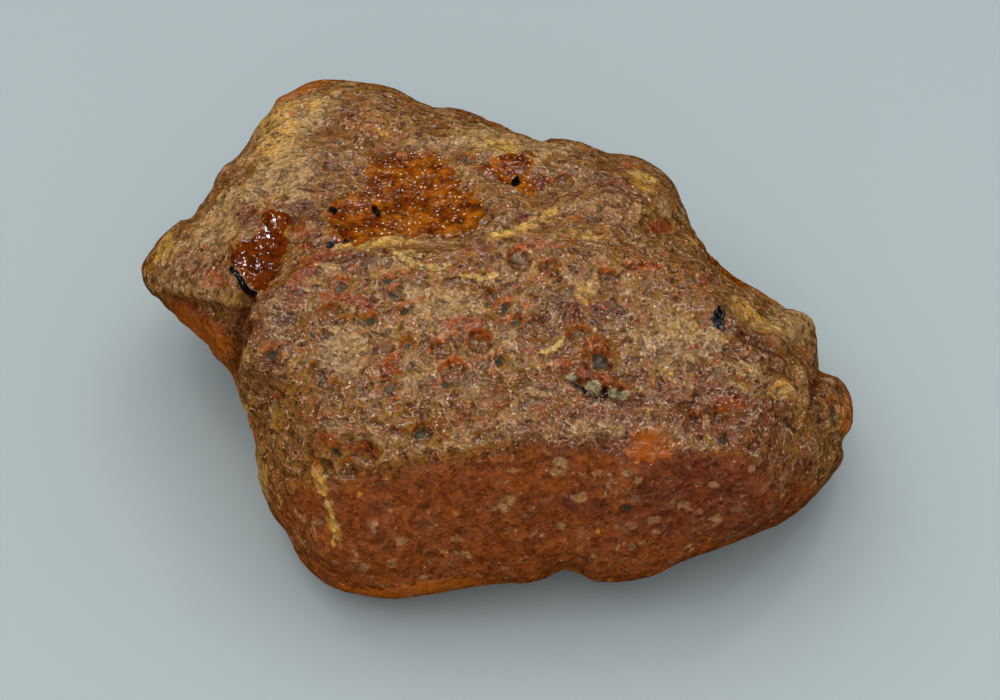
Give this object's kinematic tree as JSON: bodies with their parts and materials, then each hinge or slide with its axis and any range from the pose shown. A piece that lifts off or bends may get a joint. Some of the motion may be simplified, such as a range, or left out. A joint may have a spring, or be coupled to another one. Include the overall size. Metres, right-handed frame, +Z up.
{
  "type": "raw carnelian",
  "caption": "Rough carnelian lump, broad and low, with a pitted weathered skin, a raised shoulder, a side lobe and an end knob, resting on its flattened underside.",
  "frame": {"origin": "centre of the outer box, on the plane that the stone rests on", "axes": "+X along the length, away from the side lobe and towards the end knob; +Y from the steep front to the thin back edge; +Z up"},
  "size_m": [0.0976, 0.077, 0.0375],
  "materials": {
    "stone": "waxy"
  },
  "bodies": {
    "root": {"carnelian": "stone"}
  },
  "joints": []
}
